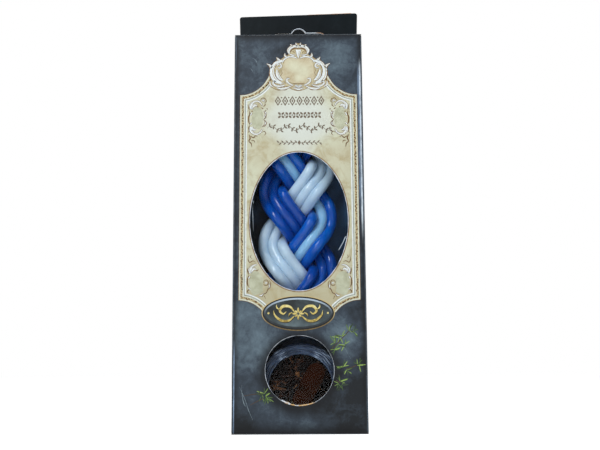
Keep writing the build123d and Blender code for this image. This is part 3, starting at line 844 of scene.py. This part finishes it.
upperCrest = {  # measured from its middle, opening to the right
    "fill": (
        ((-3.4, 5, -3.7, 7.2, -2.2, 9.1, 0, 9.6, 1.8, 8.5, 2.8, 6.7), (1.2, 1.6, 1, 0.8, 0.7, 0.2)),
        ((-2.9, 4.9, -2.5, 6.6, -1.1, 7.2, -0.4, 6.6), (0.4, 1.5, 1.3, 0.4)),
        ((-3.4, -5.4, -3.6, -7.4, -2, -9.2, 0, -9.5, 1.8, -8.3, 2.8, -6.6), (1.2, 1.6, 1.1, 0.9, 0.8, 0.2)),
        ((-2.8, -5.2, -2.2, -6.8, -0.8, -7.2), (0.4, 1.3, 0.4)), ((-3.1, 2.8, -3.9, 1.4), (0.5, 0.7)),
        ((-3.2, -3, -3.9, -4), (0.6, 0.5)), ((2.4, 9.7, 3.4, 10.2, 3.7, 9), (0.3, 0.7, 0.3)),
        ((3.6, 3.8, 4.6, 2.4, 4, 0.4), (0.3, 0.7, 0.3)), ((4.2, -1.8, 4.6, -3.6, 3.4, -5.2), (0.3, 0.7, 0.3))),
    "line": (
        ((-5.3, 7.9, -5, 5.8, -4.5, 4.4), (0.15, 0.42, 0.2)),
        ((-4.6, 3.8, -4.3, 2, -4.9, 0.2, -4.8, -2.4, -4.2, -4), (0.2, 0.6, 0.85, 0.7, 0.3)),
        ((-4.1, -4.4, -4.9, -5.8, -4.6, -7.6, -5.2, -8.8), (0.2, 0.5, 0.45, 0.15)),
        ((1.5, 9.9, 2.6, 11.3, 4.3, 11, 4.9, 9.4, 4, 8.6), (0.2, 0.4, 0.4, 0.45, 0.25)),
        ((4.3, 8.2, 4.2, 7.2, 3.3, 6.2), (0.3, 0.55, 0.25)), ((5.2, 5.3, 5.7, 4.7), (0.5, 0.4)),
        ((2.2, 5.7, 3.2, 5.1), (0.3, 0.6)), ((-0.4, 6.5, 0.4, 6), (0.3, 0.55)),
        ((4.9, 4.4, 3.9, 2.9, 4.9, 1.6, 4.6, 0, 3.6, -1.2, 5, -3, 4.2, -4.6, 2.4, -5.4),
         (0.2, 0.42, 0.3, 0.45, 0.3, 0.45, 0.4, 0.2)),
        ((-4.6, -9.8, -4, -12, -4.7, -13.6, -3.4, -15, -3, -17.2), (0.3, 0.8, 0.5, 0.6, 0.12)),
        ((-3.9, -10.6, -2.2, -11.6, -1, -10.6, 0.3, -11.2), (0.3, 0.6, 0.4, 0.15)),
        ((-3.4, -13.2, -1.8, -13.4, -1.4, -14.6), (0.2, 0.5, 0.15)),
        ((2.6, -8.6, 3.9, -8, 4.7, -9.2, 3.8, -10.3), (0.2, 0.4, 0.4, 0.2)), ((-2.3, 3.4, -3.4, 3.6), (0.2, 0.4))),
    "field": (
        -2.4, 4.9, -0.5, 6.2, 2.1, 4.7, 3.1, 1.2, 2.9, -2.9, 1.2, -6.4, -2.3, -5.4, -3.2, -1.8, -2.7, 2),
}
lowerCrest = {
    "fill": (
        ((-3.3, 4.7, -3.7, 6.6, -2.4, 8.4, -0.9, 9.2, 0.3, 9.1), (1.1, 1.5, 1, 0.8, 0.3)),
        ((-3.1, 4.7, -2.4, 6.4, -1.2, 7.1, -0.5, 6.5), (0.4, 1.3, 1.1, 0.4)), ((4.7, -0.6, 5.7, -0.6), (0.9, 0.7)),
        ((-3.6, 3, -4.3, 1.8), (0.5, 0.7)), ((-3.4, -4, -4.4, -3.4), (0.6, 0.5)),
        ((6.6, -1, 7.1, -2.6, 6.2, -4), (0.2, 0.6, 0.2)), ((3.9, -6.2, 2.6, -7.4, 1.4, -7.2), (0.2, 0.7, 0.3))),
    "line": (
        ((3.7, -0.5, 4.3, 0.7, 5.6, 0.9, 6.3, -0.3, 5.9, -1.7, 4.6, -2, 3.8, -1.2),
         (0.3, 0.34, 0.4, 0.5, 0.4, 0.34, 0.3)),
        ((6.6, 1, 7.6, -0.6, 7.3, -2.9, 6, -4.3, 5.3, -5.9, 3.8, -6.7, 2.9, -8.3),
         (0.12, 0.4, 0.4, 0.5, 0.4, 0.5, 0.12)),
        ((4.2, -7.6, 4.9, -9.2), (0.4, 0.12)), ((-5.1, 7.6, -4.8, 5.6, -4.4, 4), (0.2, 0.6, 0.4)),
        ((-4.2, 3.4, -4.9, 1.6, -5, -0.8, -4.4, -2.6), (0.3, 0.6, 0.75, 0.35)),
        ((-4, -4.2, -4.9, -5, -4.4, -6.2), (0.4, 0.6, 0.2)),
        ((-4.3, 14.4, -4.6, 12.2, -3.8, 10.6, -2, 11.4, -0.6, 10.6), (0.12, 0.4, 0.5, 0.4, 0.12)),
        ((-2.6, 12.6, -3.4, 13.6, -2.8, 14.8), (0.12, 0.35, 0.12)),
        ((-0.6, 6.3, 0.4, 6, 0.9, 6.9), (0.3, 0.45, 0.2))),
    "field": (
        -3, 4.5, -0.2, 5.8, 2.4, 3.8, 3.6, 1.6, 3.2, -3.2, 3.5, -5.4, 1.2, -6.4, -1.6, -7.2, -3.5, -3.8, -3.8, 0.6),
}
outlines, fills, shading, fields, fineLines = [], [], [], [], []


def scroll(points, widths):
    line = flow(points, 7)
    widths = np.array(widths, float)
    outlines.append(stroke(line, widths + 0.42))
    fills.append(stroke(line, widths))
    if widths.max() > 0.85:
        thick = np.interp(np.linspace(0, 1, len(line)), np.linspace(0, 1, len(widths)), widths)
        part = slice(len(line) // 6, -len(line) // 6)
        shading.append([edge[part] for edge in band(line, thick * 0.26, thick * 0.12)])


def wholeCrest(half):  # an outline of the crest from its right half
    half = half + (label["middle"], 0)
    return np.vstack([half, mirrored(half)[::-1][1:-1]])


for points, widths in crest["fill"]:
    points = pairs(points) + (label["middle"], 0)
    scroll(points, widths)
    scroll(mirrored(points), widths)
for points, widths in crest["centre"]:
    scroll(pairs(points) + (label["middle"], 0), widths)
for lean in np.radians(np.arange(-66, 67, 22)):  # the small fan under the crest
    out = np.array([math.sin(lean), -math.cos(lean)])
    scroll([out * far + (label["middle"], 191.4) for far in (0.9, 1.7, 2.6)], (0.2, 0.5, 0.22))
for points, widths in crest["line"]:
    line = flow(pairs(points) + (label["middle"], 0), 7)
    fineLines += [stroke(line, widths), stroke(mirrored(line), widths)]
fields.append(wholeCrest(flow(crest["field"], 5)))
for shape, x, z, way in ((upperCrest, -22.9, 172.0, 1), (upperCrest, 23.1, 171.8, -1),
                         (lowerCrest, -23.0, 80.0, 1), (lowerCrest, 23.2, 79.8, -1)):  # way 1 opens to the right
    for points, widths in shape["fill"]:
        scroll(pairs(points) * (way, 1) + (x, z), widths)
    for points, widths in shape["line"]:
        fineLines.append(stroke(flow(pairs(points) * (way, 1) + (x, z), 6), widths))
    fields.append(flow(pairs(shape["field"] + shape["field"][:2]) * (way, 1) + (x, z), 4)[:-1])

place = newFinish("fieldInk")
mottled = cloud(place, 5, 6, 0.65, 0.4)
warm = shades(mottled, {0.35: (172, 157, 124), 0.6: (194, 187, 159)})
for where in ((-2.5, 202, 1, 6), (3, 199, 1, 6), (0, 195, 0, 4)):
    warm = mixed(spot(place, *where) * 0.7, warm, (206, 209, 184))
green = shades(mottled, {0.35: (156, 158, 132), 0.65: (185, 190, 167)})
wear(mixed(fade(split(place)[2], 186, 190), green, warm), 0.38, relief(mottled, 0.1, 0.03))
ground = wholeCrest(flow(crest["ground"], 3))
ink("crest_ground", "groundInk", patches=[ground], lift=0.048)
ink("crest_rim", "brownInk", [band(np.vstack([ground, ground[:2]]), 0.12, -0.14)], lift=0.052)
ink("scroll_fields", "fieldInk", patches=fields, lift=0.055)
ink("scroll_outlines", "brownInk", outlines, lift=0.065)
ink("scroll_fills", "whiteInk", fills, lift=0.075)
ink("scroll_shading", "tanInk", shading, lift=0.085)
ink("scroll_lines", "brownInk", fineLines, lift=0.09)

# plain ornament where the title stands: lozenges, quatrefoils, a leafy vine and paired leaves
title = {"lozengeZ": 181.6, "quatrefoilZ": 173.3, "vineZ": 165.8, "leafZ": 157.4, "leafX": 0.4, "vineLeft": -17.4,
         "vineLong": 36, "vineHigh": 1.5, "vineWaves": 4}
drawn, solid = [], []


def lozenge(x, z, wide, high):
    return np.array([(x - wide, z), (x, z + high), (x + wide, z), (x, z - high)])


def leaf(x, z, lean, long, wide):
    t = np.linspace(0, 1, 7)
    up = wide * np.sin(t * math.pi) ** 0.8
    body = np.vstack([np.stack([t * long, up], 1), np.stack([t[::-1] * long, -up[::-1]], 1)[1:-1]])
    c, s = math.cos(lean), math.sin(lean)
    return body @ np.array([[c, s], [-s, c]]) + (x, z)


def star(x, z, away, leans, longs, wide):  # leaves round a point
    return [leaf(x + away * math.cos(lean), z + away * math.sin(lean), lean, long, wide)
            for lean, long in zip(leans, longs)]


z = title["lozengeZ"]
for i in range(7):
    x = 0.7 + (i - 3) * 4.05
    solid += [[lozenge(x, z, 1.75, 2.9), lozenge(x, z, 1.05, 1.85)[::-1]], lozenge(x, z, 0.5, 0.9)]
    if i < 6:
        solid += [ellipse(x + 2.02, z + up, 0.42, 0.42, 14) for up in (1.9, -1.9)]
z = title["quatrefoilZ"]
for i in range(6):
    x = 0.6 + (i - 2.5) * 4.1
    solid += star(x, z, 0.3, [math.pi / 4 + k * math.pi / 2 for k in range(4)], [2.1] * 4, 0.62)
    if i < 5:
        solid.append(lozenge(x + 2.05, z, 0.42, 0.8))


def vineAt(x):  # the vine's height at x, and its phase
    phase = (x - title["vineLeft"]) / title["vineLong"] * fullTurn * title["vineWaves"]
    return title["vineZ"] + title["vineHigh"] * np.sin(phase), phase


x = np.linspace(title["vineLeft"], title["vineLeft"] + title["vineLong"], 90)
drawn.append(stroke(np.stack([x, vineAt(x)[0]], axis=1), (0.15, 0.34, 0.34, 0.34, 0.15)))
for x in [-16.2 + i * 2.1 for i in range(17)]:
    z, phase = vineAt(x)
    lean = math.atan2(math.cos(phase) * title["vineHigh"], 1) * 0.6
    solid += [leaf(x, z, lean + way, 1.9, 0.42) for way in (1, -1)]
z = title["leafZ"]
for way, back in ((1, 0), (-1, math.pi)):
    solid += [leaf(title["leafX"] + way * (1.2 + k * 1.25), z, (0.75 if k % 2 else -0.75) + back, 1.9, 0.36)
              for k in range(9)]
    drawn.append(stroke(np.array([(title["leafX"] + way * far, z) for far in (1.2, 6, 12.4)]), (0.26, 0.22, 0.1)))
solid.append(lozenge(title["leafX"], z, 0.9, 1.5))
ink("title_ornament", "titleInk", drawn, solid, lift=0.055)
print("scrollwork and title ornament printed")

# the small plaque under the oval
plaque = {
    "x": -0.65, "z": 63.1, "wide": 19.4, "high": 9.2,
    "strokes": (((1.6, 0.2, 4.4, 3.4, 8.2, 3.6, 9.8, 1.2, 8, -0.4, 6.4, 0.8), (0.3, 1.2, 1.5, 1.2, 0.8, 0.3)),
                ((1.8, -1.4, 5.2, -4, 9.2, -3.8, 12.4, -1.2, 13.2, 1.4), (0.3, 1.2, 1.4, 0.9, 0.15)),
                ((3.2, 0.4, 4.6, -0.4, 5.2, -1.8), (0.3, 0.7, 0.15)),
                ((9.6, 1.6, 11.4, 3, 11.6, 4.6), (0.3, 0.8, 0.12))),
}


def plaqueEdge(inset, count=119):
    return ellipse(plaque["x"], plaque["z"], plaque["wide"] - inset, plaque["high"] - inset, count)


def plaqueRing(*insets):
    return [np.vstack([edge, edge[:1]]) for edge in map(plaqueEdge, insets)]


place = newFinish("plaqueStone")
mist = cloud(place, 10, 6, 0.6, 0.5)
tone = mist + fade(split(place)[2], 54, 66, 0.22, -0.08)
wear(shades(tone, {0.36: (34, 40, 42), 0.6: (60, 72, 76), 0.8: (92, 108, 114)}), 0.34, relief(mist, 0.1, 0.05))
place = newFinish("goldInk")
glint = cloud(place, 2.4, 5, 0.7) + fade(split(place)[2], 56, 70, -0.1, 0.14)
wear(shades(glint, {0.3: (136, 116, 58), 0.5: (206, 186, 106), 0.72: (238, 228, 162)}), 0.3,
     relief(glint, 0.15, 0.05), Metallic=0.25)
ink("plaque_rim", "rimInk", [plaqueRing(-0.2, 0.3)], lift=0.06)
ink("plaque_edge", "darkInk", [plaqueRing(0.28, 1.1)], lift=0.075)
ink("plaque_bevel", "bevelInk", [plaqueRing(1.05, 1.95)], lift=0.085)
ink("plaque_face", "plaqueStone", patches=[plaqueEdge(1.75, 120)], lift=0.08)
gold, under = [], []
goldSolid = [ellipse(plaque["x"] + x, plaque["z"], 0.55, 0.55, 20) for x in (15.9, -15.9)]
goldSolid += star(plaque["x"], plaque["z"] - 0.3, 0.5, [k * math.pi / 4 for k in range(8)], [2.9, 1.9] * 4, 0.5)
for way in (1, -1):
    for points, widths in plaque["strokes"]:
        line = flow(points, 7) * (way, 1) + (plaque["x"], plaque["z"])
        gold.append(stroke(line, widths))
        under.append(stroke(line + (0.22, -0.25), np.array(widths) + 0.2))
ink("plaque_shadow", "darkInk", under, lift=0.09)
ink("plaque_ornament", "goldInk", gold, goldSolid, lift=0.10)

# printed outline of the oval, and rubbed marks
ring = np.vstack([ovalEdge(0), ovalEdge(0)[:2]])
ink("oval_outline", "ovalInk", [band(ring, -0.1, -0.62)], lift=0.05)
scratch = ((20.7, 17.7, 19, 15, 18.2, 12.8, 17.4, 10.3), (0.08, 0.3, 0.35, 0.08))
ink("dark_scratch", "darkInk", strokes(6, scratch), lift=0.02)
ink("rubbed_marks", "rubInk", strokes(
    8, ((-31.9, 24.6, -29, 18.4, -27, 12.6, -24.6, 7.2), (0.05, 0.24, 0.3, 0.05)),
    ((-30.6, 25.6, -30.4, 21.2, -29.4, 18.2), (0.05, 0.2, 0.05)),
    ((19.4, 56.2, 22.4, 48.6, 24.2, 44.2, 27, 38.8), (0.05, 0.26, 0.2, 0.05)),
    ((-25.5, 207.2, -23.8, 205.4, -23, 203), (0.05, 0.35, 0.05)),
    ((-27.4, 201.4, -26, 199.8, -25.8, 198.6), (0.05, 0.25, 0.05)),
    ((-30.8, 22, -29.6, 16.6, -28.4, 14.2), (0.05, 0.5, 0.05))), lift=0.02)
print("plaque and marks printed")

# ragged cut edges of the punched board: seed, thickness, raggedness, steps, unevenness
cuts = {
    "oval_cut_edge": (1.0, 0.17 * mm, 0.11 * mm, 420, 0.95),
    "round_cut_edge": (2.0, 0.105 * mm, 0.11 * mm, 420, 0.95),
    "cut_shreds": (5.0, 0.26 * mm, 0.4 * mm, 160, 1.4),
    "slot_cut_edge": (3.0, 0.24 * mm, 0.06 * mm, 300, 0.5),
    "tab_cut_edge": (6.0, 0.14 * mm, 0.05 * mm, 220, 0.8),
}
place = newFinish("cutBoard")
x, _, z = split(place)
fibre = cloud(place, 0.4, 4, 0.7)
colour = shades(fibre, {0.3: (172, 186, 202), 0.65: (222, 230, 238)})
scorched = calc("MAXIMUM", fade(z, 225, 228) * fade(x, 9.5, 13), z > 245 * mm)
shreds = fade(z, 15.6, 17.2, 1.0, 0.0) * ranged(cloud(place, 2.5, 3), 0.4, 0.5)
colour = mixed(shreds, mixed(scorched, colour, (186, 150, 122)), (204, 166, 112))
wear(colour, 0.8, relief(fibre, 0.4, 0.06))
line, thick, ragged, seed, steps, uneven = newTree("ragged cut", {"Thickness": 0.105, "Raggedness": 0.11}, Seed=0.0,
                                                   Steps=420, Uneven=0.95)
line = wire("GeometryNodeResampleCurve", {"Curve": line, "Count": steps})
torn = noise({"W": seed, "Scale": 900.0, "Detail": 3.0}, 1, "4D")
torn = vec("MULTIPLY", vec("SUBTRACT", torn, (0.5, 0.5, 0.5)), (2, 0.2, 2))
line = moved(line, Offset=scaled(torn, ragged))
tuft = noise({"W": seed + 7.0, "Scale": 260.0, "Detail": 4.0}, dimensions="4D")
full = calc("MAXIMUM", 1.0 + (tuft - 0.5) * (uneven * 4.0), 0.3)
line = wire("GeometryNodeSetCurveRadius", {0: line, "Radius": full})
tree = endTree(tubeOn(line, 6, thick), "cutBoard")


def cutEdge(name, line, y, closed=False):
    values = dict(zip(("Seed", "Thickness", "Raggedness", "Steps", "Uneven"), cuts[name]))
    grown(name, curveOf([upright(line, y)], closed), tree, values, "cutBoard", "carton")


windowX, windowZ, windowR = label["window"]
ring = ellipse(windowX, windowZ, windowR - 0.05, windowR - 0.05, 160)
cutEdge("oval_cut_edge", ovalEdge(-0.05, 200), frontY + 0.1, True)
cutEdge("round_cut_edge", ring, frontY + 0.1, True)
line = bow(windowX, windowZ, windowR - 0.3, windowR - 0.3, np.radians(np.linspace(-122, -68, 40)))
cutEdge("cut_shreds", line, frontY + 0.25)
slot = {"wide": 16.2, "low": 230.2, "high": 236.8, "hump": 4.7, "humpZ": 234.9, "y": 17.0}
rise = slot["high"] - slot["humpZ"]
start = math.atan2(rise, math.sqrt(slot["hump"] ** 2 - rise ** 2))
hump = bow(0, slot["humpZ"], slot["hump"], slot["hump"], np.linspace(start, math.pi - start, 24))
corner = (slot["high"] - slot["low"]) / 2
end = bow(slot["wide"] - corner, slot["low"] + corner, corner, corner, np.linspace(-math.pi / 2, math.pi / 2, 14)[7:])
cutEdge("slot_cut_edge", np.vstack([end, hump]), slot["y"])
tab = {"left": -33, "wide": 66, "leftTop": 247.52, "rise": 2, "pale": (6, 32.6), "y": 17.1}
line = [(x, tab["leftTop"] + (x - tab["left"]) * tab["rise"] / tab["wide"]) for x in np.linspace(*tab["pale"], 30)]
cutEdge("tab_cut_edge", line, tab["y"])

# sprigs of a needle-leaved herb printed round the lower window
herb = {
    "needles": {"Gap": 0.15, "Leaf length": 3.5, "Leaf width": 0.23, "Lift": 0.02, "Window X": windowX,
                "Window Z": windowZ, "Window radius": windowR + 0.35},
    "spread": 1.25,
    "stems": ((16.4, 43.2, 19.2, 46.2, 22.4, 49.4, 26.4, 53.6), (24.6, 33.6, 27.6, 34.4, 30.6, 35.6),
              (19, 27.8, 21.6, 26.2), (-29.4, 19.8, -24.6, 20.6, -18.6, 21.2),
              (-26.2, 15, -22.4, 17, -18.8, 18.6)),
    # each cluster: x, z, heading in degrees, length of its short stalk
    "clusters": (
        (26.2, 53.6, 40, 0.9), (28.2, 53.6, -15, 0.9), (22.4, 50.4, 80, 0.7), (21.6, 50.2, 200, 0.6),
        (19.4, 47.2, 150, 0.9), (20.6, 46.4, -50, 0.9), (18.6, 44.0, -75, 0.8), (23.8, 46.4, -20, 0.5),
        (23.2, 34.4, 110, 0.9), (24.8, 33.4, -60, 1.0), (30.4, 35.4, 70, 0.9), (31.4, 35.6, 20, 0.7),
        (21.2, 27.0, 40, 0.8), (20.6, 26.2, 230, 0.9), (22.0, 25.6, -40, 0.6), (-18.6, 20.6, 110, 0.8),
        (-18.2, 20.0, -20, 0.9), (-19.6, 20.2, 215, 0.7), (-17.2, 19.2, -65, 0.6)),
}
place = newFinish("leafInk")
tone = wire("ShaderNodeAttribute", out="Fac", attribute_name="shade") * 0.8 + cloud(place, 1.2, 4) * 0.3
wear(shades(tone, {0.15: (28, 44, 24), 0.5: (68, 98, 42), 0.9: (142, 172, 84)}), 0.36,
     relief(cloud(place, 0.8, 3), 0.1, 0.03))
ink("herb_stems", "stemInk", [stroke(flow(stem, 6), (0.26, 0.52, 0.4)) for stem in herb["stems"]])

line, gap, leafLong, leafWide, lift, middleX, middleZ, clear, spread, seed = newTree(
    "needle leaves", herb["needles"], Spread=herb["spread"], Seed=5)
spots, heading = alongLine(line, gap)
side = calc("MODULO", wire("GeometryNodeInputIndex"), 2.0) * 2.0 - 1.0
angle = heading + side * chance(seed, 0.25, spread + 0.5, 1)
blade = wire("GeometryNodeMeshCircle", {"Vertices": 12, "Radius": 0.5}, fill_type="NGON")
blade = wire("GeometryNodeTransform", {0: blade, "Scale": joined(leafLong, leafWide * 2.0, 1.0),
                                       "Translation": joined(leafLong * 0.5)})
spots = moved(spots, Offset=joined(y=chance(seed, 0.0, 1.0, 3) * (lift * -1.0)))
size = chance(seed, 0.6, 1.2, 2)
reach = leafLong * size  # leaves that would hang over the window are left out
x, _, z = split(wire("GeometryNodeInputPosition"))
tip = joined(x + reach * calc("COSINE", angle), z=z - reach * calc("SINE", angle))
away = vec("DISTANCE", tip, joined(middleX, z=middleZ), "Value")
free = wire("FunctionNodeCompare", {0: away, 1: clear}, data_type="FLOAT", operation="GREATER_THAN")
many = copies(spots, blade, Selection=free, Rotation=turnedBy(math.pi / 2, angle), Scale=size)
tree = endTree(shaded(many, chance(seed, 0.0, 1.0, 4)), "leafInk")
stalks = []
for x, z, lean, long in herb["clusters"]:
    lean = math.radians(lean)
    stalk = [(x, z), (x + math.cos(lean) * long, z + math.sin(lean) * long)]
    stalks.append(upright(stalk, frontY - 0.045))
grown("herb_leaves", curveOf(stalks), tree, {}, "leafInk", "carton", False)

# creases of the film behind the oval, drawn as painted pale glints
ink("film_creases", "filmCrease", strokes(
    6, ((-25.6, 141, -24.9, 137.4, -24.8, 132.2, -25.3, 128), (0.06, 0.3, 0.3, 0.06)),
    ((-26.6, 125.2, -25.9, 124.4, -25.2, 124.6, -24.8, 123.2), (0.1, 0.35, 0.35, 0.1)),
    ((-25.4, 122, -25.2, 116, -24.9, 108), (0.05, 0.26, 0.05)),
    ((25.4, 104.6, 23.6, 100.8, 21.4, 97), (0.6, 0.36, 0.3))), lift=-0.42)
print("cut edges, herbs and creases done")
